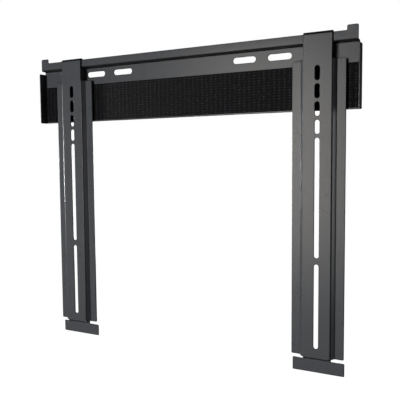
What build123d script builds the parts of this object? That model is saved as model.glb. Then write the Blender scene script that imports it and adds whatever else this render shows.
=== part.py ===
from build123d import *
import math
import os

# Flat wall bracket for a television: a folded wall rail with a hanging lip, a strip of
# hook tape on the rail's face, and two folded hat-section arms that hang over the lip.
# X runs along the rail, the wall is the plane Y = 0 with the front towards -Y, Z is up.
# The origin is on the wall plane, midway along the rail, on the line of the wall slots.
# Depths are measured out from the wall, drops down from the top edge of the rail's lip.

# Sheet steel, shared by the rail and the arms
sheet = 2.0
bend_inner_radius = 1.0

# Rail along its length, with the lip and its shelf a little shorter at each end
rail_length = 598.0
lip_end_inset = 3.7

# Rail in section
lip_top_height = 27.0
lip_depth = 11.7
shelf_drop = 15.0
rail_bottom_drop = 111.4

# Ears that stop the arms at the ends of the lip
ear_width = 16.5
ear_height = 7.4
ear_corner_radius = 2.5
ear_root_radius = 1.0

# Flanges folded forward at the ends of the rail
end_flange_depth = 14.0
end_flange_top_drop = 19.0
end_flange_corner_radius = 2.5

# Wall slots, two near each end of the rail
wall_slot_length = 38.3
wall_slot_width = 9.4
wall_slot_end_inset = 124.5
wall_slot_pitch = 58.4

# Hook tape on the rail's face
hook_tape_thickness = 1.2
hook_tape_end_inset = 5.0
hook_tape_top_drop = 44.4
hook_tape_bottom_margin = 2.2
hook_tape_corner_radius = 0.5

# Arms: where they hang, from the ends of the rail, and their section
left_arm_end_inset = 76.9
right_arm_end_inset = 61.9
arm_depth = 14.65
arm_width = 81.3
arm_web_width = 44.0
arm_side_spread = 4.6
arm_flange_depth = 7.2
arm_flange_top_drop = 37.3
arm_flange_corner_radius = 2.0

# Hook folded back over the lip
hook_inner_width = 5.0
hook_inner_radius = 2.4
hook_leg_drop = 10.5
hook_leg_corner_radius = 2.0
hook_seat_clearance = 0.02

# Slots for the television's screws, four short ones above two long ones
screw_slot_width = 6.95
screw_slot_top_drop = 46.6
short_slot_length = 20.6
short_slot_count = 4
slot_gap = 5.6
upper_long_slot_length = 178.6
long_slot_gap = 9.5
lower_long_slot_length = 128.6
slot_end_margin = 14.2

# Foot tab, set back to the wall below the arm's flanges
foot_neck_width = 40.0
foot_neck_height = 6.9
foot_tab_height = 20.2
foot_width = 80.8
foot_corner_radius = 1.8
foot_root_radius = 0.8

# Loop pads behind the arms' flanges, pressed onto the hook tape
loop_pad_width = 11.0
loop_pad_height = 60.0

# Worked out from the values above
lip_length = rail_length - 2 * lip_end_inset
hook_tape_length = rail_length - 2 * hook_tape_end_inset
left_arm_offset = left_arm_end_inset - rail_length / 2
right_arm_offset = rail_length / 2 - right_arm_end_inset
bend_middle_radius = bend_inner_radius + sheet / 2
hook_middle_radius = hook_inner_radius + sheet / 2
shelf_height = lip_top_height - shelf_drop
rail_bottom_height = lip_top_height - rail_bottom_drop
end_flange_top_height = lip_top_height - end_flange_top_drop
tape_top_height = lip_top_height - hook_tape_top_drop
tape_bottom_height = rail_bottom_height + hook_tape_bottom_margin
tape_front_depth = sheet + hook_tape_thickness
flange_top_height = lip_top_height - arm_flange_top_drop
flange_back_depth = arm_flange_depth - sheet
web_middle = sheet / 2 - arm_depth
short_slots_length = short_slot_count * (short_slot_length + slot_gap)
long_slots_length = upper_long_slot_length + long_slot_gap + lower_long_slot_length
slots_top_height = lip_top_height - screw_slot_top_drop
slots_bottom_height = slots_top_height - short_slots_length - long_slots_length
flange_bottom_height = slots_bottom_height - slot_end_margin
foot_shelf_height = flange_bottom_height - bend_inner_radius - sheet
foot_top_height = flange_bottom_height - foot_neck_height
foot_bottom_height = foot_top_height - foot_tab_height
through = 4 * arm_depth


def section_along_x(points, radius, length):
    """Sheet folded along lines parallel to X, from its middle line as (y, z) points."""
    middle = FilletPolyline(*points, radius=radius)
    return extrude(Plane.YZ * trace(middle, line_width=sheet), amount=length / 2, both=True)


def section_along_z(points, radius, bottom, top):
    """Sheet folded along lines parallel to Z, from its middle line as (x, y) points."""
    middle = FilletPolyline(*points, radius=radius)
    return extrude(Plane.XY.offset(bottom) * trace(middle, line_width=sheet), amount=top - bottom)


def front_slab(sketch, back_depth, thickness):
    """Flat piece with the front outline of the sketch, its back at the given depth."""
    return extrude(Plane.XZ.offset(back_depth) * sketch, amount=thickness)


def rounded_panel(width, bottom, top, radius):
    """Front outline of a panel with rounded corners, centred across X."""
    return Pos(0, (bottom + top) / 2) * RectangleRounded(width, top - bottom, radius)


def lip_outline():
    """Front outline of the lip's flat part with an ear at each end."""
    half = lip_length / 2
    ear_inner = half - ear_width
    bottom = shelf_height + sheet + bend_inner_radius
    top = lip_top_height + ear_height
    outline = Polyline(
        (-half, bottom), (half, bottom),
        (half, top), (ear_inner, top), (ear_inner, lip_top_height),
        (-ear_inner, lip_top_height), (-ear_inner, top), (-half, top),
        close=True,
    )
    face = make_face(outline)
    roots = face.vertices().filter_by(lambda v: abs(v.Y - lip_top_height) < sheet / 10)
    face = fillet(roots, ear_root_radius)
    tips = face.vertices().group_by(Axis.Y)[-1]
    return fillet(tips, ear_corner_radius)


def end_flange_outline():
    """Side outline of the lower rail, rounded at the flanges' front corners, as (y, z)."""
    place = Pos(-end_flange_depth / 2, (rail_bottom_height + end_flange_top_height) / 2)
    face = place * Rectangle(end_flange_depth, end_flange_top_height - rail_bottom_height)
    return fillet(face.vertices().group_by(Axis.X)[0], end_flange_corner_radius)


def wall_slot_places():
    """Middles of the wall slots along the rail."""
    outer = rail_length / 2 - wall_slot_end_inset
    inner = outer - wall_slot_pitch
    return [-outer, -inner, inner, outer]


def make_wall_rail():
    """Rail folded from one sheet: lip, shelf, wall face and two end flanges."""
    face_middle = -sheet / 2
    lip_middle = sheet / 2 - lip_depth
    shelf_middle = shelf_height + sheet / 2
    upper = section_along_x(
        [
            (lip_middle, lip_top_height), (lip_middle, shelf_middle),
            (face_middle, shelf_middle), (face_middle, end_flange_top_height),
        ],
        bend_middle_radius, lip_length,
    )
    lip = front_slab(lip_outline(), lip_depth - sheet, sheet)
    flange_middle = rail_length / 2 - sheet / 2
    lower = section_along_z(
        [
            (-flange_middle, -end_flange_depth), (-flange_middle, face_middle),
            (flange_middle, face_middle), (flange_middle, -end_flange_depth),
        ],
        bend_middle_radius, rail_bottom_height, end_flange_top_height,
    )
    lower = lower & extrude(Plane.YZ * end_flange_outline(), amount=rail_length, both=True)
    rail = upper + lip + lower
    slot = SlotOverall(wall_slot_length, wall_slot_width)
    for place in wall_slot_places():
        rail = rail - front_slab(Pos(place, 0) * slot, -sheet, 3 * sheet)
    return rail


def make_hook_tape():
    """Strip of hook tape stuck along the lower part of the rail's face."""
    outline = rounded_panel(
        hook_tape_length, tape_bottom_height, tape_top_height, hook_tape_corner_radius
    )
    return front_slab(outline, sheet, hook_tape_thickness)


def hook_rise():
    """How far the inside of the hook stands above the lip when it sits on the lip's front edge."""
    curve_middle_depth = arm_depth - sheet - hook_inner_radius
    overhang = lip_depth - curve_middle_depth
    drop = hook_inner_radius - math.sqrt(hook_inner_radius ** 2 - overhang ** 2)
    return drop + hook_seat_clearance


def screw_slot_spans():
    """Top and bottom of each screw slot, from the highest down."""
    slots = [(short_slot_length, slot_gap)] * short_slot_count
    slots = slots + [(upper_long_slot_length, long_slot_gap), (lower_long_slot_length, slot_gap)]
    spans = []
    top = slots_top_height
    for length, gap in slots:
        spans.append((top, top - length))
        top = top - length - gap
    return spans


def make_hook():
    """Hook of an arm: the web carried up above the flanges, folded over and down behind the lip."""
    leg_middle = web_middle + hook_inner_width + sheet
    leg_bottom = lip_top_height - hook_leg_drop
    hook_middle = lip_top_height + hook_rise() + sheet / 2
    hook = section_along_x(
        [
            (leg_middle, leg_bottom), (leg_middle, hook_middle),
            (web_middle, hook_middle), (web_middle, flange_top_height),
        ],
        hook_middle_radius, arm_web_width,
    )
    corners = hook.edges().filter_by(Axis.Y).filter_by(
        lambda edge: abs(edge.center().Z - leg_bottom) < sheet / 10
    )
    return fillet(corners, hook_leg_corner_radius)


def foot_outline():
    """Front outline of the foot tab, with small radii where its neck widens into the ears."""
    ears = rounded_panel(foot_width, foot_bottom_height, foot_top_height, foot_corner_radius)
    neck_top = foot_shelf_height - bend_inner_radius
    neck = Pos(0, (neck_top + foot_bottom_height) / 2) * Rectangle(
        foot_neck_width, neck_top - foot_bottom_height
    )
    face = ears + neck
    level = face.vertices().filter_by(lambda v: abs(v.Y - foot_top_height) < sheet / 10)
    roots = level.filter_by(lambda v: abs(abs(v.X) - foot_neck_width / 2) < sheet / 10)
    return fillet(roots, foot_root_radius)


def make_foot():
    """Foot of an arm: the web's end folded back to the wall and down into a wide tab."""
    shelf_middle = foot_shelf_height + sheet / 2
    tab_middle = -sheet / 2
    neck = section_along_x(
        [
            (web_middle, flange_bottom_height + sheet), (web_middle, shelf_middle),
            (tab_middle, shelf_middle), (tab_middle, foot_bottom_height),
        ],
        bend_middle_radius, foot_neck_width,
    )
    return neck + front_slab(foot_outline(), 0, sheet)


def make_arm():
    """Arm folded from one sheet, standing at the middle of the rail."""
    web_half = arm_web_width / 2
    flange_half = web_half + arm_side_spread
    flange_middle = sheet / 2 - arm_flange_depth
    hat = section_along_z(
        [
            (-arm_width / 2, flange_middle), (-flange_half, flange_middle),
            (-web_half, web_middle), (web_half, web_middle),
            (flange_half, flange_middle), (arm_width / 2, flange_middle),
        ],
        bend_middle_radius, flange_bottom_height, flange_top_height,
    )
    hat_outline = rounded_panel(
        arm_width, flange_bottom_height, flange_top_height, arm_flange_corner_radius
    )
    hat = hat & front_slab(hat_outline, 0, through)
    arm = hat + make_hook() + make_foot()
    for top, bottom in screw_slot_spans():
        slot = Pos(0, (top + bottom) / 2) * SlotOverall(top - bottom, screw_slot_width, rotation=90)
        arm = arm - front_slab(slot, 0, through)
    return arm


def make_loop_pad():
    """Pad of loop tape between an arm's flange and the hook tape."""
    middle_height = (tape_top_height + tape_bottom_height) / 2
    outline = Pos(0, middle_height) * Rectangle(loop_pad_width, loop_pad_height)
    return front_slab(outline, tape_front_depth, flange_back_depth - tape_front_depth)


def loop_pad_offset():
    """Distance of a pad's middle from the middle of its arm."""
    flat_start = arm_web_width / 2 + arm_side_spread + bend_middle_radius
    return (flat_start + arm_width / 2) / 2


def write(shape, name):
    """Write one piece to its own file."""
    export_step(shape, os.path.join("parts", name + ".step"))


def main():
    os.makedirs("parts", exist_ok=True)
    write(make_wall_rail(), "wall_rail")
    write(make_hook_tape(), "hook_tape")
    arm = make_arm()
    pad = make_loop_pad()
    for side, offset in (("left", left_arm_offset), ("right", right_arm_offset)):
        write(Pos(offset, 0, 0) * arm, side + "_arm")
        for hand, shift in (("left", -loop_pad_offset()), ("right", loop_pad_offset())):
            write(Pos(offset + shift, 0, 0) * pad, side + "_arm_" + hand + "_pad")


main()
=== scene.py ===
"""Looks of a flat wall bracket for a television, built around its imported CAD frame.

Lengths are in metres, X runs along the rail, the wall is the plane Y = 0 and Z is up.
"""

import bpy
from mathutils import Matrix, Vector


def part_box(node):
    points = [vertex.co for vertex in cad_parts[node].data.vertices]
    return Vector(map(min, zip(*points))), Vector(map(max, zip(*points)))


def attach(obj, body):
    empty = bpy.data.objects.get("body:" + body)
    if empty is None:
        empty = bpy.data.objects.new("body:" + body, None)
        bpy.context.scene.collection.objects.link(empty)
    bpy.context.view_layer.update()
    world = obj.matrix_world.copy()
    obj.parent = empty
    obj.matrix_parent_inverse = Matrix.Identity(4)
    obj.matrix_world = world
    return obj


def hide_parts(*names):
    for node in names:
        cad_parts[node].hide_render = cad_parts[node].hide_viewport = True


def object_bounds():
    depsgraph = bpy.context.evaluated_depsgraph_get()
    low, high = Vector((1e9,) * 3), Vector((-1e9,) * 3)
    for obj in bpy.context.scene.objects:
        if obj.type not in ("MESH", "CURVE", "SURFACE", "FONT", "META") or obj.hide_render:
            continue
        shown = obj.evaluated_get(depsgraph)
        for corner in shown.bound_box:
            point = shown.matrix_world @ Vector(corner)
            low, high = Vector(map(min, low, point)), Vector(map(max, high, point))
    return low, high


bl_info = {
    "name": "Flat Wall Bracket",
    "version": (1, 0, 0),
    "blender": (4, 5, 0),
    "location": "View3D > Sidebar > Bracket",
    "description": "Dresses the folded rail, the arms, the hook tape and the loop pads",
    "category": "Add Mesh",
}

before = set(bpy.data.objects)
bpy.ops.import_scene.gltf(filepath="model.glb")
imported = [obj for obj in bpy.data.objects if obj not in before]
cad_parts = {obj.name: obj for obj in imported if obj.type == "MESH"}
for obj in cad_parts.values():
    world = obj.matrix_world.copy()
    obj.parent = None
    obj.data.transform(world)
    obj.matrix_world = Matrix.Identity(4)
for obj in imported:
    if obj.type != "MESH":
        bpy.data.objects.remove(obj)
cad_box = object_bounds()

import math

import bmesh
import bpy
import numpy as np
from bpy.props import FloatProperty, FloatVectorProperty, IntProperty, PointerProperty
from mathutils import Matrix, Vector

SIDES = ("left", "right")
MILLIMETRE = 0.001
PAINT_NAME = "black_powder_coat"

# The folded sheets: what is merged, flattened or taken for a bend or for the sheet's cut thickness.
MERGE_DISTANCE = 0.001 * MILLIMETRE
LEDGE_AREA = 0.1 * MILLIMETRE ** 2
CUT_FACE_HALF_WIDTH = 1.1 * MILLIMETRE
CUT_FACE_SHARP_SHARE = 0.7
FLAT_ANGLE = math.radians(0.4)
BEND_ANGLE = math.radians(30)

# The painted shade of the bends: how soon a face that tips up or down is painted dark, and one that
# turns to the right, up to the X of its normal at which it is a plain side wall again.
LYING_GAIN = 250
TURNING_GAIN = 10
TURNING_END = 0.85

# The tape: its ribs, rows, weave and painted glint spots, and the ranges from which each hook draws its
# shape.
RIB_SHARPNESS = 0.7
ROW_DIP = 0.2
WEAVE_SHARE = 0.6
GLINT_SPOT_GAIN = 8
HOOK_RISE = (0.86, 0.99)
HOOK_REACH = (0.85, 1.15)
HOOK_LEAN = 0.12
THREAD_TAPER = (1.15, 0.8)

# The pads: how much squarer their ends are than their sides, how small the last ring is, and the
# waves of the nap, each with its turns along and round the pad.
END_SQUARENESS = 6
LAST_RING = 0.02
NAP_WAVES = ((37, 5), (-11, 23))

# The stage.
PHOTO_WIDTH = 400
SENSOR_WIDTH = 36.0
NEAR_CLIP = 0.01
WHITE = (1.0, 1.0, 1.0)
COOL_WHITE = (0.97, 0.98, 1.0)
HORIZON_FADE = 5


class Value:
    """A number that varies over a surface, for sums written as plain Python."""

    def __init__(self, graph, socket):
        self.graph = graph
        self.socket = socket

    def maths(self, operation, *values):
        return self.graph.add("ShaderNodeMath", {"operation": operation}, values)

    def __add__(self, other):
        return self.maths("ADD", self, other)

    def __radd__(self, other):
        return self.maths("ADD", other, self)

    def __sub__(self, other):
        return self.maths("SUBTRACT", self, other)

    def __rsub__(self, other):
        return self.maths("SUBTRACT", other, self)

    def __mul__(self, other):
        return self.maths("MULTIPLY", self, other)

    def __rmul__(self, other):
        return self.maths("MULTIPLY", other, self)

    def __truediv__(self, other):
        return self.maths("DIVIDE", self, other)

    def __rpow__(self, other):
        return self.maths("POWER", other, self)

    def wave(self, period):
        """A cosine from 0 to 1 that repeats once a period."""
        return 0.5 + 0.5 * self.maths("COSINE", self * (2 * math.pi / period))

    def larger(self, other):
        return self.maths("MAXIMUM", self, other)

    def smaller(self, other):
        return self.maths("MINIMUM", self, other)


class Graph:
    """The node tree of one material or of the world."""

    def __init__(self, owner):
        owner.use_nodes = True
        self.tree = owner.node_tree
        self.tree.nodes.clear()

    def add(self, kind, settings=None, values=(), output=None):
        """Adds a node, sets it, feeds its sockets in order or by name, and gives one output."""
        node = self.tree.nodes.new(kind)
        for name, setting in (settings or {}).items():
            setattr(node, name, setting)
        pairs = values.items() if isinstance(values, dict) else enumerate(values)
        for key, value in pairs:
            self.feed(self.find(node.inputs, key), value)
        outputs = [socket for socket in node.outputs if socket.enabled]
        return Value(self, self.find(outputs, output) if output else outputs[0])

    def find(self, sockets, key):
        usable = [socket for socket in sockets if socket.enabled]
        if isinstance(key, int):
            return usable[key]
        return next(socket for socket in usable if socket.name == key)

    def feed(self, socket, value):
        if isinstance(value, Value):
            self.tree.links.new(value.socket, socket)
        elif socket.type == "RGBA" and len(value) == 3:
            socket.default_value = (*value, 1.0)
        else:
            socket.default_value = value

    def place(self, kind="Object"):
        """Texture coordinates of one kind, as a vector."""
        return self.add("ShaderNodeTexCoord", output=kind)

    def axes(self, vector):
        """The three numbers of a vector."""
        node = self.add("ShaderNodeSeparateXYZ", None, [vector]).socket.node
        return [Value(self, socket) for socket in node.outputs]

    def noise(self, vector, cell, detail=2.0, roughness=0.5):
        """Noise from 0 to 1 whose lumps are about one cell across."""
        values = {"Vector": vector, "Scale": 1 / cell, "Detail": detail, "Roughness": roughness}
        return self.add("ShaderNodeTexNoise", None, values, "Fac")

    def blend(self, share, first, second):
        """A colour between two, by share."""
        settings = {"data_type": "RGBA", "clamp_factor": True}
        values = {"Factor": share, "A": first, "B": second}
        return self.add("ShaderNodeMix", settings, values, "Result")

    def tint(self, colour, level):
        """A plain colour times a number that varies."""
        values = {"Vector": tuple(colour), "Scale": level}
        return self.add("ShaderNodeVectorMath", {"operation": "SCALE"}, values)

    def bump(self, height, distance, under=None):
        """Normals of a relief of this height, on top of the relief under it."""
        values = {"Height": height, "Distance": distance}
        if under:
            values["Normal"] = under
        return self.add("ShaderNodeBump", None, values)

    def finish(self, shader, kind="ShaderNodeOutputMaterial"):
        node = self.tree.nodes.new(kind)
        self.feed(node.inputs["Surface"], shader)

    def coat(self, values):
        """Ends a material in a Principled shader with these values."""
        self.finish(self.add("ShaderNodeBsdfPrincipled", None, values))


def new_material(name):
    material = bpy.data.materials.new(name)
    return material, Graph(material)


def shared_paint(scene):
    """The one powder coat of the rail and the arms."""
    return bpy.data.materials.get(PAINT_NAME) or paint_material(scene.bracket_paint)


def paint_material(look):
    """Semi-gloss black powder coat: a pebbled skin over fine grain.

    It is nearly black, by painted shade, on cut edges, on faces that lie level and round the bends that
    turn to the right, where the lighting leaves black lines of shade.
    """
    material, graph = new_material(PAINT_NAME)
    place = graph.place()
    pebbles = graph.noise(place, look.pebble_size, 2.0, 0.45)
    grain = graph.noise(place, look.grain_size, 1.0)
    clouds = graph.noise(place, look.cloud_size, 3.0)
    level = 1 - look.tone_change + clouds * (2 * look.tone_change)
    specks = (grain - 0.5) * look.tone_change
    # Painted shade: cut edges, faces that look up or down and bends that turn right are darkened in the
    # colour.
    cut = graph.add("ShaderNodeAttribute", {"attribute_name": "cut_edge"}, output="Fac")
    across, _, upward = graph.axes(graph.add("ShaderNodeNewGeometry", output="Normal"))
    level_face_shade = (upward * upward * LYING_GAIN).smaller(1)
    right_bend_shade = (across * (TURNING_END - across) * TURNING_GAIN).smaller(1)
    dark = cut.larger(level_face_shade).larger(right_bend_shade) * look.edge_shade
    gloss = (clouds - 0.5) * look.gloss_change + (pebbles - 0.5) * look.gloss_change
    relief = graph.bump(pebbles, look.pebble_depth)
    graph.coat({
        "Base Color": graph.tint(look.colour, (level + specks) * (1 - dark)),
        "Roughness": look.roughness + gloss,
        "Specular IOR Level": look.specular,
        "Normal": graph.bump(grain, look.grain_depth, under=relief),
    })
    return material


def painted_hook_glints(graph, place, look):
    """How strong the painted highlight of the hooks' glints is at a spot of the tape, from 0 to 1: spots on
    some of every second column and row.
    """
    x, _, z = graph.axes(place)
    pairs = x.wave(2 * look.column_pitch) * z.wave(2 * look.row_pitch)
    spots = graph.noise(place, look.glint_spot_size, 1.0)
    return pairs * pairs * ((spots - look.glint_spot_start) * GLINT_SPOT_GAIN).larger(0).smaller(1)


def web_material(look):
    """Woven nylon ground of the hook tape, ribbed, with scattered painted highlights where the hooks glint.
    """
    material, graph = new_material("woven_tape_ground")
    place = graph.place()
    x, _, z = graph.axes(place)
    ribs = x.wave(look.column_pitch)
    warp = x.wave(look.yarn_pitch)
    weft = z.wave(look.yarn_pitch)
    fuzz = graph.noise(place, look.yarn_pitch, 3.0, 0.7)
    relief = warp * weft * WEAVE_SHARE + fuzz * (1 - WEAVE_SHARE)
    # Painted highlight: the hooks' glint spots are painted lighter into the ground's colour.
    light = ribs * look.rib_lift + painted_hook_glints(graph, place, look) * look.glint_spot_lift
    level = look.ground_level + light + (fuzz - 0.5) * look.fuzz_change
    graph.coat({
        "Base Color": graph.tint(look.colour, level),
        "Roughness": look.ground_roughness - look.fuzz_gloss * fuzz,
        "Specular IOR Level": look.ground_specular,
        "Normal": graph.bump(relief, look.yarn_depth),
    })
    return material


def hook_material(look):
    """Black nylon thread of the hooks, glossier than the ground, with painted highlights on the same glint
    spots.
    """
    material, graph = new_material("nylon_hooks")
    place = graph.place()
    change = graph.noise(place, look.row_pitch, 1.0)
    # Painted highlight: the glint spots are painted lighter on the thread too.
    level = look.hook_level + painted_hook_glints(graph, place, look) * look.glint_spot_lift + (change - 0.5)
    graph.coat({
        "Base Color": graph.tint(look.hook_colour, level),
        "Roughness": look.hook_roughness + look.hook_gloss_change * change,
        "Specular IOR Level": look.hook_specular,
    })
    return material


def loop_material(look):
    """Brushed nylon loops: a tangle of short fibres over a dark ground."""
    material, graph = new_material("brushed_nylon_loops")
    place = graph.place()
    tangle = graph.noise(place, look.loop_size, 4.0, 0.75)
    spots = graph.noise(place, 4 * look.loop_size, 2.0)
    level = look.ground_level + tangle * look.tangle_lift + (spots - 0.5) * look.tuft_change
    graph.coat({
        "Base Color": graph.tint(look.colour, level),
        "Roughness": look.roughness + look.gloss_change * tangle,
        "Normal": graph.bump(tangle + 0.5 * spots, look.loop_depth),
    })
    return material


def show(name, data):
    """A new object of this data, linked to the scene."""
    thing = bpy.data.objects.new(name, data)
    bpy.context.scene.collection.objects.link(thing)
    return thing


def seat(piece, material, slot, *nodes):
    """Gives a piece its material and puts it on the one body in place of its CAD nodes. The slot is not
    used.
    """
    piece.data.materials.clear()
    piece.data.materials.append(material)
    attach(piece, "root")
    if nodes:
        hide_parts(*nodes)
    return piece


def grid_quads(rows, columns, closed_rows=False, closed_columns=False):
    """Quads over a grid of points numbered row by row; a closed direction joins its end to its start."""
    row = np.arange(rows if closed_rows else rows - 1)[:, None]
    column = np.arange(columns if closed_columns else columns - 1)[None, :]
    after, beside = (row + 1) % rows, (column + 1) % columns
    corners = [row * columns + column, row * columns + beside,
               after * columns + beside, after * columns + column]
    return np.stack(np.broadcast_arrays(*corners), axis=-1).reshape(-1, 4)


def end_caps(rings, sides):
    """The first and the last of some rings of points, as two faces that look outwards."""
    ring = np.arange(sides)
    return [ring[::-1], (rings - 1) * sides + ring]


def mesh_piece(name, points, quads, caps):
    """A smooth-shaded mesh from an array of points, an array of quads and a few other faces."""
    loops = np.concatenate([quads.ravel(), *[np.asarray(cap) for cap in caps]]).astype(np.int32)
    sizes = np.concatenate([np.full(len(quads), 4), [len(cap) for cap in caps]]).astype(np.int32)
    starts = np.concatenate([[0], np.cumsum(sizes)[:-1]]).astype(np.int32)
    mesh = bpy.data.meshes.new(name)
    mesh.vertices.add(len(points))
    mesh.vertices.foreach_set("co", np.asarray(points, np.float32).ravel())
    mesh.loops.add(len(loops))
    mesh.loops.foreach_set("vertex_index", loops)
    mesh.polygons.add(len(sizes))
    mesh.polygons.foreach_set("loop_start", starts)
    mesh.update(calc_edges=True)
    mesh.validate()
    mesh.shade_smooth()
    return show(name, mesh)


def is_sharp(edge):
    return edge.calc_face_angle(0) > BEND_ANGLE


def is_cut_face(face):
    """Whether a face is the sheet's cut thickness: narrow, with sharp edges nearly all round."""
    around = face.calc_perimeter()
    sharp = sum(edge.calc_length() for edge in face.edges if is_sharp(edge))
    return face.calc_area() / around < CUT_FACE_HALF_WIDTH and sharp > CUT_FACE_SHARP_SHARE * around


def make_flats_whole(shape):
    """Merges a sheet's points, joins the faces of each flat and draws tiny ledges together."""
    bmesh.ops.remove_doubles(shape, verts=shape.verts, dist=MERGE_DISTANCE)
    bmesh.ops.dissolve_limit(shape, angle_limit=FLAT_ANGLE, verts=shape.verts, edges=shape.edges)
    ledges = [face for face in shape.faces if face.calc_area() < LEDGE_AREA]
    bmesh.ops.collapse(shape, edges=list(dict.fromkeys(edge for face in ledges for edge in face.edges)))


def ease_cut_edges(shape, look):
    """Rounds a sheet's sharp edges, and marks its cut thickness and its rounded edges as cut_edge."""
    # cut_edge is also the mask of the painted shade on the sheet's edges in the coat.
    mark = shape.faces.layers.float.new("cut_edge")
    for face in shape.faces:
        face[mark] = float(is_cut_face(face))
    sharp = [edge for edge in shape.edges if is_sharp(edge)]
    eased = bmesh.ops.bevel(shape, geom=sharp, offset=look.edge_radius, offset_type="OFFSET", profile=0.5,
                            segments=look.edge_steps, affect="EDGES", clamp_overlap=False)
    for face in eased["faces"]:
        face[mark] = 1


def folded_sheet(node, name, look):
    """A copy of a folded CAD sheet with whole flats and eased edges, kept inside the node's box."""
    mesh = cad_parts[node].data.copy()
    mesh.name = name
    shape = bmesh.new()
    shape.from_mesh(mesh)
    make_flats_whole(shape)
    ease_cut_edges(shape, look)
    if any(not edge.is_manifold for edge in shape.edges):
        raise RuntimeError(node + " isn't a closed sheet once its edges are eased")
    shape.to_mesh(mesh)
    shape.free()
    points = np.empty((len(mesh.vertices), 3), np.float32)
    mesh.vertices.foreach_get("co", points.ravel())
    mesh.vertices.foreach_set("co", np.clip(points, *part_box(node)).astype(np.float32).ravel())
    mesh.shade_smooth()
    piece = show(name, mesh)
    flats = piece.modifiers.new("flat flats", "WEIGHTED_NORMAL")
    flats.mode = "FACE_AREA"
    flats.weight = 100
    return piece


def tape_ground(look, low, high):
    """Ribbed ground of the hook tape.

    A closed profile across the tape is carried along X. Its front stands off the rail by the
    ground's thickness plus a rib that follows a cosine along X and dips between the rows, and
    it falls to the rail along a quarter ellipse at the four edges.
    """
    columns = int((high.x - low.x) / look.column_pitch * look.rib_steps) + 1
    rows = int((high.z - low.z) / look.row_pitch * look.row_steps) + 1
    x = np.linspace(low.x, high.x, columns)[None, :]
    z = np.linspace(low.z, high.z, rows)[:, None]
    inset = np.minimum(np.minimum(x - low.x, high.x - x), np.minimum(z - low.z, high.z - z))
    fall = np.sqrt(1 - (1 - np.clip(inset / look.ground_thickness, 0, 1)) ** 2)
    rib = (0.5 + 0.5 * np.cos(2 * np.pi * x / look.column_pitch)) ** RIB_SHARPNESS
    row = 1 - ROW_DIP + ROW_DIP * np.cos(2 * np.pi * (z - low.z) / look.row_pitch)
    height = fall * (look.ground_thickness + look.rib_height * rib * row)
    front = np.stack(np.broadcast_arrays(x, high.y - height, z), axis=-1)
    back = np.stack(np.broadcast_arrays(x, high.y, np.array([[high.z], [low.z]])), axis=-1)
    profile = np.concatenate([front[1:-1], back])
    quads = grid_quads(len(profile), columns, closed_rows=True)
    start = np.arange(len(profile)) * columns
    caps = [start, start[::-1] + columns - 1]
    return mesh_piece("hook_tape_ground", profile.reshape(-1, 3), quads, caps)


def hook_roots(look, low, high, facing, chance):
    """Where one set of hooks rises from the ground, along X and along Z, with some scatter."""
    margin = look.column_pitch / 2
    xs = np.arange(math.ceil((low.x + margin) / look.column_pitch), (high.x - margin) / look.column_pitch)
    zs = np.arange(low.z + look.row_pitch / 2, high.z - look.row_pitch / 2, look.row_pitch)
    zs = zs + facing * look.row_pitch / 4
    x, z = [values.ravel() for values in np.meshgrid(xs * look.column_pitch, zs)]
    x = x + facing * look.hook_gap / 2 + chance.normal(0, look.scatter, len(x))
    z = z + chance.normal(0, look.scatter, len(z))
    return x[:, None], z[:, None]


def thread_rings(look, middle, heading):
    """Rings of points round bent threads, one thread a row, that grow thinner to their tips."""
    heading = heading / np.linalg.norm(heading, axis=-1, keepdims=True)
    across = np.cross(heading, [0.0, 0.0, 1.0])
    across = across / np.linalg.norm(across, axis=-1, keepdims=True)
    beside = np.cross(heading, across)
    angle = np.arange(look.thread_sides)[:, None] * 2 * np.pi / look.thread_sides
    taper = np.linspace(*THREAD_TAPER, look.hook_rings)[None, :, None, None] * look.thread_radius
    ring = across[:, :, None] * np.cos(angle) + beside[:, :, None] * np.sin(angle)
    return middle[:, :, None] + ring * taper


def tape_hooks(look, low, high, facing, name):
    """One set of hooks, all turned the same way along X.

    Each hook is a three-sided thread along part of an ellipse: it rises from the rib, turns over
    sideways and comes part of the way down again. Rows alternate with the other set's rows.
    """
    chance = np.random.default_rng(look.seed + facing)
    x, z = hook_roots(look, low, high, facing, chance)
    foot = high.y - look.ground_thickness
    rise = foot - low.y - look.thread_radius
    rise = rise * chance.uniform(*HOOK_RISE, len(x))[:, None]
    width = look.hook_width * chance.uniform(*HOOK_REACH, len(x))[:, None]
    lean = chance.normal(0, HOOK_LEAN, len(x))[:, None]
    turn = np.linspace(0, math.radians(look.hook_turn), look.hook_rings)[None, :]
    along = 0.5 * width * (1 - np.cos(turn))
    out = rise * np.sin(turn)
    middle = np.stack([x + facing * along, foot - out, z + lean * along], axis=-1)
    heading = np.stack([facing * np.sin(turn) * width / 2, -rise * np.cos(turn),
                        lean * np.sin(turn) * width / 2], axis=-1)
    points = thread_rings(look, middle, heading)
    rings, sides = look.hook_rings, look.thread_sides
    base = (np.arange(len(x)) * rings * sides)[:, None]
    quads = (base[:, None] + grid_quads(rings, sides, closed_columns=True)).reshape(-1, 4)
    caps = np.concatenate([base + cap for cap in end_caps(rings, sides)])
    return mesh_piece(name, points.reshape(-1, 3), quads, caps)


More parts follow.
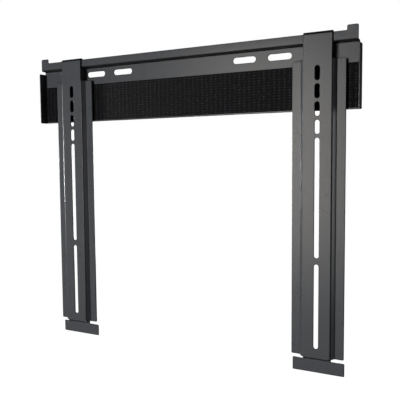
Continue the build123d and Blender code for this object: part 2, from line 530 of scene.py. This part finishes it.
def loop_pad(look, low, high, name):
    """A pressed pad of loop tape.

    Rings round the pad lie on a superellipse in X and Y; along Z they close in at both ends by
    the same rule, and a product of two waves makes the nap uneven.
    """
    middle, half = (low + high) / 2, (high - low) / 2
    rows, columns = look.pad_rows, look.pad_columns
    t = np.linspace(-1, 1, rows)[:, None]
    a = np.linspace(0, 2 * np.pi, columns, endpoint=False)[None, :]
    power = 2 / look.pad_squareness
    close = (1 - np.abs(t) ** (look.pad_squareness * END_SQUARENESS)) ** (1 / look.pad_squareness)
    close = np.clip(close, LAST_RING, 1)
    unit_x = np.sign(np.cos(a)) * np.abs(np.cos(a)) ** power
    unit_y = np.sign(np.sin(a)) * np.abs(np.sin(a)) ** power
    first, second = [along * t + around * a for along, around in NAP_WAVES]
    nap = 1 - look.nap * (1 + np.sin(first) * np.cos(second))
    edge = 1 - (1 - close) * half.y / half.x
    x = middle.x + half.x * unit_x * edge * nap
    y = middle.y + half.y * unit_y * close
    z = middle.z + half.z * t
    points = np.stack(np.broadcast_arrays(x, y, z), axis=-1).reshape(-1, 3)
    quads = grid_quads(rows, columns, closed_columns=True)
    return mesh_piece(name, points, quads, end_caps(rows, columns))


def colour_value(name, description, default):
    return FloatVectorProperty(name=name, description=description, subtype="COLOR", size=3,
                               default=default, min=0, max=1)


def share_value(name, description, default):
    return FloatProperty(name=name, description=description, subtype="FACTOR", default=default,
                         min=0, max=1)


def length_value(name, description, default):
    return FloatProperty(name=name, description=description, unit="LENGTH", precision=6,
                         default=default, min=0)


def angle_value(name, description, degrees):
    return FloatProperty(name=name, description=description, subtype="ANGLE",
                         default=math.radians(degrees))


def place_value(name, description, default):
    return FloatVectorProperty(name=name, description=description, subtype="TRANSLATION",
                               unit="LENGTH", size=3, default=default)


def strength_value(name, description, default):
    return FloatProperty(name=name, description=description, default=default, min=0)


def count_value(name, description, default, least):
    return IntProperty(name=name, description=description, default=default, min=least)


class BracketPaint(bpy.types.PropertyGroup):
    colour: colour_value("Colour", "Black of the powder coat", (0.065, 0.070, 0.077))
    # Painted shade: how far cut edges, level faces and right-turning bends are darkened in the coat's
    # colour.
    edge_shade: share_value("Edge shade", "How much darker cut edges and dark bends are", 0.85)
    roughness: share_value("Roughness", "Roughness of the coat", 0.28)
    specular: share_value("Specular", "Strength of the coat's reflections", 0.5)
    tone_change: share_value("Tone change", "Share by which the tone varies", 0.035)
    gloss_change: share_value("Gloss change", "How far the roughness varies", 0.03)
    pebble_size: length_value("Pebble size", "Width of the coat's pebbles", 0.0011)
    pebble_depth: length_value("Pebble depth", "Height of the coat's pebbles", 0.000012)
    grain_size: length_value("Grain size", "Width of the coat's finest grain", 0.00025)
    grain_depth: length_value("Grain depth", "Height of the coat's finest grain", 0.000002)
    cloud_size: length_value("Cloud size", "Width of the slow changes of tone", 0.045)


class BracketSheet(bpy.types.PropertyGroup):
    edge_radius: length_value("Edge radius", "Radius on the sheet's cut edges", 0.0008)
    edge_steps: count_value("Edge steps", "Facets across an eased edge", 2, 1)


class BracketTape(bpy.types.PropertyGroup):
    colour: colour_value("Ground colour", "Black of the woven ground", (0.0066, 0.0066, 0.0078))
    ground_level: share_value("Ground level", "Tone of the bare ground, as a share of its colour", 0.68)
    ground_roughness: share_value("Ground roughness", "Roughness of the ground at its roughest", 0.75)
    ground_specular: share_value("Ground specular", "Strength of the ground's reflections", 0.12)
    rib_lift: share_value("Rib lift", "How much lighter the ribs are", 0.1)
    fuzz_change: share_value("Fuzz change", "How far the fuzz changes the tone", 0.5)
    fuzz_gloss: share_value("Fuzz gloss", "How much smoother the fuzz is than the ground", 0.15)
    hook_colour: colour_value("Hook colour", "Black of the hooks' thread", (0.022, 0.022, 0.0235))
    hook_level: share_value("Hook level", "Tone of the bare hooks, as a share of their colour", 0.74)
    hook_roughness: share_value("Hook roughness", "Roughness of the thread at its smoothest", 0.4)
    hook_gloss_change: share_value("Hook gloss change", "How far the thread's roughness varies", 0.2)
    hook_specular: share_value("Hook specular", "Strength of the hooks' reflections", 0.2)
    column_pitch: length_value("Column pitch", "Distance between columns of hooks", 0.00415)
    row_pitch: length_value("Row pitch", "Distance between hooks in a column", 0.0021)
    ground_thickness: length_value("Ground thickness", "Thickness of the woven ground", 0.0004)
    rib_height: length_value("Rib height", "Height of the ribs that carry the hooks", 0.0002)
    rib_steps: count_value("Rib steps", "Points across one rib", 6, 4)
    row_steps: count_value("Row steps", "Points from one row of hooks to the next", 3, 2)
    yarn_pitch: length_value("Yarn pitch", "Distance between yarns of the ground", 0.00052)
    yarn_depth: length_value("Yarn depth", "Relief of the yarns", 0.00008)
    # Painted highlights: size, start and lift of the spots where the hooks' glints are painted into the
    # tape's colour.
    glint_spot_size: length_value("Tuft size", "Width of the lighter tufts", 0.0026)
    glint_spot_start: share_value("Tuft start", "Level of the noise from which a tuft shows", 0.43)
    glint_spot_lift: FloatProperty(name="Tuft lift", description="How much lighter the tufts are",
                             default=4.8, min=0, max=6)
    hook_gap: length_value("Hook gap", "Distance between the two lines of hooks on a rib", 0.0009)
    hook_width: length_value("Hook width", "How far a hook reaches sideways", 0.0009)
    hook_turn: FloatProperty(name="Hook turn", description="Degrees through which a hook's thread turns",
                             default=150, min=90, max=180)
    thread_radius: length_value("Thread radius", "Radius of the hooks' thread", 0.00012)
    thread_sides: count_value("Thread sides", "Sides of the hooks' thread", 3, 3)
    hook_rings: count_value("Hook rings", "Rings of points along a hook", 6, 4)
    scatter: length_value("Scatter", "How far hooks stray from their places", 0.00008)
    seed: count_value("Seed", "Start of the random draws", 4, 1)


class BracketPads(bpy.types.PropertyGroup):
    colour: colour_value("Colour", "Black of the brushed loops", (0.016, 0.016, 0.017))
    ground_level: share_value("Ground level", "Tone between the loops, as a share of the colour", 0.6)
    tangle_lift: share_value("Tangle lift", "How much lighter the loops are", 0.7)
    tuft_change: share_value("Tuft change", "How far tufts of loops change the tone", 0.4)
    roughness: share_value("Roughness", "Roughness of the pads at their smoothest", 0.8)
    gloss_change: share_value("Gloss change", "How far the roughness varies", 0.15)
    loop_size: length_value("Loop size", "Width of one loop", 0.0004)
    loop_depth: length_value("Loop depth", "Relief of the loops", 0.0002)
    pad_rows: count_value("Pad rows", "Rings of points along a pad", 80, 8)
    pad_columns: count_value("Pad columns", "Points round a pad", 48, 8)
    pad_squareness: FloatProperty(name="Squareness", description="Power of the pad's outline",
                                  default=7.0, min=2, max=12)
    nap: share_value("Nap", "Share by which the nap is uneven", 0.006)


class BracketStage(bpy.types.PropertyGroup):
    eye: place_value("Eye", "Place of the camera", (0.48014, -0.84053, -0.15357))
    yaw: angle_value("Yaw", "Turn of the view to the left", 27.929)
    pitch: angle_value("Pitch", "Tilt of the view downwards", 4.133)
    roll: angle_value("Roll", "Turn of the camera about its own axis", -0.466)
    focal_pixels: FloatProperty(name="Focal length", description="Focal length in pixels of the photograph",
                                default=572.278)
    key_place: place_value("Key light", "Middle of the main light, which the coat doesn't mirror",
                           (-4.15, -7.80, 1.56))
    key_size: length_value("Key size", "Width of the main light", 0.6)
    key_power: strength_value("Key power", "Power of the main light, in watts", 650.0)
    gloss_place: place_value("Gloss light", "Middle of the light that the coat only mirrors",
                             (-1.436, -4.265, -0.128))
    gloss_size: length_value("Gloss size", "Width of the light that the coat only mirrors", 1.23)
    gloss_height: length_value("Gloss height", "Height of the light that the coat only mirrors", 1.93)
    gloss_power: strength_value("Gloss power", "Power of the light that is only mirrored, in watts", 43.5)
    gloss_colour: colour_value("Gloss colour", "Colour of the light that the coat only mirrors",
                               (1.0, 0.929, 0.848))
    glint_place: place_value("Glint light", "Middle of the light that glints in the left bends",
                             (-2.9, -0.75, -0.185))
    glint_size: length_value("Glint size", "Width of the light that glints in the left bends", 0.33)
    glint_power: strength_value("Glint power", "Power of the light in the left bends, in watts", 60.0)
    back_place: place_value("Back light", "Middle of the soft light behind", (-0.8, 2.2, -0.2))
    back_size: length_value("Back size", "Width of the soft light behind", 1.0)
    back_power: strength_value("Back power", "Power of the soft light behind, in watts", 55.0)
    side_place: place_value("Side light", "Middle of the soft light at the right", (3.0, 0.15, -0.15))
    side_size: length_value("Side size", "Width of the soft light at the right", 1.1)
    side_height: length_value("Side height", "Height of the soft light at the right", 1.5)
    side_power: strength_value("Side power", "Power of the soft light at the right, in watts", 14.0)
    sky: colour_value("Sky", "Weak light from all round", (0.006, 0.0066, 0.0075))
    horizon: share_value("Horizon", "Strength of the white horizon in reflections", 1.0)
    horizon_spread: angle_value("Horizon spread", "Half height of the white horizon", 4)
    floor_drop: length_value("Floor drop", "How far the floor lies below the arms", 0.9)
    floor_size: length_value("Floor size", "Width of the floor", 24.0)
    floor_tone: share_value("Floor tone", "Tone of the floor in real light", 0.25)
    floor_glow: strength_value("Floor glow", "Strength of the floor's own white", 1.12)
    floor_shade: share_value("Floor shade", "Share of real light in the floor's look", 0.08)


class BRACKET_OT_rail(bpy.types.Operator):
    """Make the folded wall rail"""

    bl_idname = "bracket.rail"
    bl_label = "Make Rail"

    def execute(self, context):
        scene = context.scene
        piece = folded_sheet("wall_rail", "folded_rail", scene.bracket_sheet)
        seat(piece, shared_paint(scene), "black_paint", "wall_rail")
        return {"FINISHED"}


class BRACKET_OT_arms(bpy.types.Operator):
    """Make the two folded arms"""

    bl_idname = "bracket.arms"
    bl_label = "Make Arms"

    def execute(self, context):
        scene = context.scene
        for side in SIDES:
            piece = folded_sheet(side + "_arm", "folded_" + side + "_arm", scene.bracket_sheet)
            seat(piece, shared_paint(scene), "black_paint", side + "_arm")
        return {"FINISHED"}


class BRACKET_OT_hook_tape(bpy.types.Operator):
    """Make the hook tape: its woven ground and two sets of hooks"""

    bl_idname = "bracket.hook_tape"
    bl_label = "Make Hook Tape"

    def execute(self, context):
        look = context.scene.bracket_tape
        low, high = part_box("hook_tape")
        seat(tape_ground(look, low, high), web_material(look), "hook_tape", "hook_tape")
        thread = hook_material(look)
        for side, facing in zip(SIDES, (-1, 1)):
            seat(tape_hooks(look, low, high, facing, "hooks_facing_" + side), thread, "hook_tape")
        return {"FINISHED"}


class BRACKET_OT_loop_pads(bpy.types.Operator):
    """Make the loop pads behind the arms"""

    bl_idname = "bracket.loop_pads"
    bl_label = "Make Loop Pads"

    def execute(self, context):
        look = context.scene.bracket_pads
        material = loop_material(look)
        for arm in SIDES:
            for hand in SIDES:
                node = arm + "_arm_" + hand + "_pad"
                low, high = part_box(node)
                piece = loop_pad(look, low, high, node + "_loops")
                seat(piece, material, "loop_tape", node)
        return {"FINISHED"}


class BRACKET_OT_stage(bpy.types.Operator):
    """Set the floor, the lights and the camera"""

    bl_idname = "bracket.stage"
    bl_label = "Set Stage"

    def execute(self, context):
        scene, stage = context.scene, context.scene.bracket_stage
        middle = (cad_box[0] + cad_box[1]) / 2
        make_camera(scene, stage)
        make_lamp(stage, "key", middle).visible_glossy = False
        make_lamp(stage, "gloss", middle, stage.gloss_colour).visible_diffuse = False
        make_lamp(stage, "glint", middle).visible_diffuse = False
        make_lamp(stage, "back", middle, COOL_WHITE)
        make_lamp(stage, "side", middle)
        make_world(scene, stage)
        make_floor(stage, cad_box[0].z)
        scene.view_settings.view_transform = "Standard"
        return {"FINISHED"}


class BRACKET_PT_panel(bpy.types.Panel):
    """Buttons for the bracket's pieces and stage"""

    bl_idname = "BRACKET_PT_panel"
    bl_label = "Wall Bracket"
    bl_space_type = "VIEW_3D"
    bl_region_type = "UI"
    bl_category = "Bracket"

    def draw(self, context):
        for operator in OPERATORS:
            self.layout.operator(operator.bl_idname)


def make_camera(scene, stage):
    """The camera of the photograph, from its eye point and three angles."""
    yaw, pitch, roll = stage.yaw, stage.pitch, stage.roll
    ahead = Vector((-math.sin(yaw) * math.cos(pitch), math.cos(yaw) * math.cos(pitch), -math.sin(pitch)))
    level = Vector((math.cos(yaw), math.sin(yaw), 0))
    upright = level.cross(ahead)
    right = level * math.cos(roll) + upright * math.sin(roll)
    top = upright * math.cos(roll) - level * math.sin(roll)
    data = bpy.data.cameras.new("photo_camera")
    data.sensor_width = SENSOR_WIDTH
    data.lens = stage.focal_pixels / PHOTO_WIDTH * SENSOR_WIDTH
    data.clip_start = NEAR_CLIP
    camera = show("photo_camera", data)
    turn = Matrix((right, top, -ahead)).transposed().to_4x4()
    camera.matrix_world = Matrix.Translation(Vector(stage.eye)) @ turn
    scene.camera = camera


def make_lamp(stage, name, target, colour=WHITE):
    """A soft light that faces its target, square unless the stage gives it a height of its own."""
    place = Vector(getattr(stage, name + "_place"))
    data = bpy.data.lights.new(name + "_light", "AREA")
    data.size = getattr(stage, name + "_size")
    data.energy = getattr(stage, name + "_power")
    data.color = tuple(colour)
    height = getattr(stage, name + "_height", None)
    if height:
        data.shape = "RECTANGLE"
        data.size_y = height
    lamp = show(name + "_light", data)
    lamp.location = place
    lamp.rotation_euler = (target - place).to_track_quat("-Z", "Y").to_euler()
    return lamp


def make_world(scene, stage):
    """White to the camera, a white horizon at the left and behind to reflections, dim to the rest."""
    world = bpy.data.worlds.new("studio")
    scene.world = world
    graph = Graph(world)
    seen = graph.add("ShaderNodeLightPath", output="Is Camera Ray")
    mirrored = graph.add("ShaderNodeLightPath", output="Is Glossy Ray")
    sideways, depth, height = graph.axes(graph.place("Generated"))
    spread = height / math.sin(stage.horizon_spread)
    behind = (depth * HORIZON_FADE + 1).larger(0).smaller(1)
    band = math.e ** (0 - spread * spread) * (0 - sideways).larger(0) * behind
    colour = graph.blend(mirrored * band * stage.horizon, tuple(stage.sky), WHITE)
    colour = graph.blend(seen, colour, WHITE)
    graph.finish(graph.add("ShaderNodeBackground", None, {"Color": colour}), "ShaderNodeOutputWorld")


def make_floor(stage, bottom):
    """A pale floor below the arms that looks white and still holds a faint shadow."""
    half, height = stage.floor_size / 2, bottom - stage.floor_drop
    corners = [(-half, -half, height), (half, -half, height), (half, half, height), (-half, half, height)]
    mesh = bpy.data.meshes.new("floor")
    mesh.from_pydata(corners, [], [(0, 1, 2, 3)])
    floor = show("floor", mesh)
    material, graph = new_material("pale_floor")
    mesh.materials.append(material)
    plain = graph.add("ShaderNodeBsdfDiffuse", None, {"Color": (stage.floor_tone,) * 3})
    white = graph.add("ShaderNodeEmission", None, {"Color": WHITE, "Strength": stage.floor_glow})
    seen = graph.add("ShaderNodeLightPath", output="Is Camera Ray")
    share = seen * (1 - stage.floor_shade)
    graph.finish(graph.add("ShaderNodeMixShader", None, [share, plain, white]))


OPERATORS = (
    BRACKET_OT_rail, BRACKET_OT_arms, BRACKET_OT_hook_tape, BRACKET_OT_loop_pads, BRACKET_OT_stage,
)
GROUPS = {
    "bracket_paint": BracketPaint,
    "bracket_sheet": BracketSheet,
    "bracket_tape": BracketTape,
    "bracket_pads": BracketPads,
    "bracket_stage": BracketStage,
}


def register():
    for group in GROUPS.values():
        bpy.utils.register_class(group)
    for name, group in GROUPS.items():
        setattr(bpy.types.Scene, name, PointerProperty(type=group))
    for operator in OPERATORS:
        bpy.utils.register_class(operator)
    bpy.utils.register_class(BRACKET_PT_panel)


def unregister():
    bpy.utils.unregister_class(BRACKET_PT_panel)
    for operator in reversed(OPERATORS):
        bpy.utils.unregister_class(operator)
    for name, group in reversed(GROUPS.items()):
        delattr(bpy.types.Scene, name)
        bpy.utils.unregister_class(group)


def main():
    register()
    bpy.ops.bracket.rail()
    bpy.ops.bracket.arms()
    bpy.ops.bracket.hook_tape()
    bpy.ops.bracket.loop_pads()
    bpy.ops.bracket.stage()


if __name__ == "__main__":
    main()
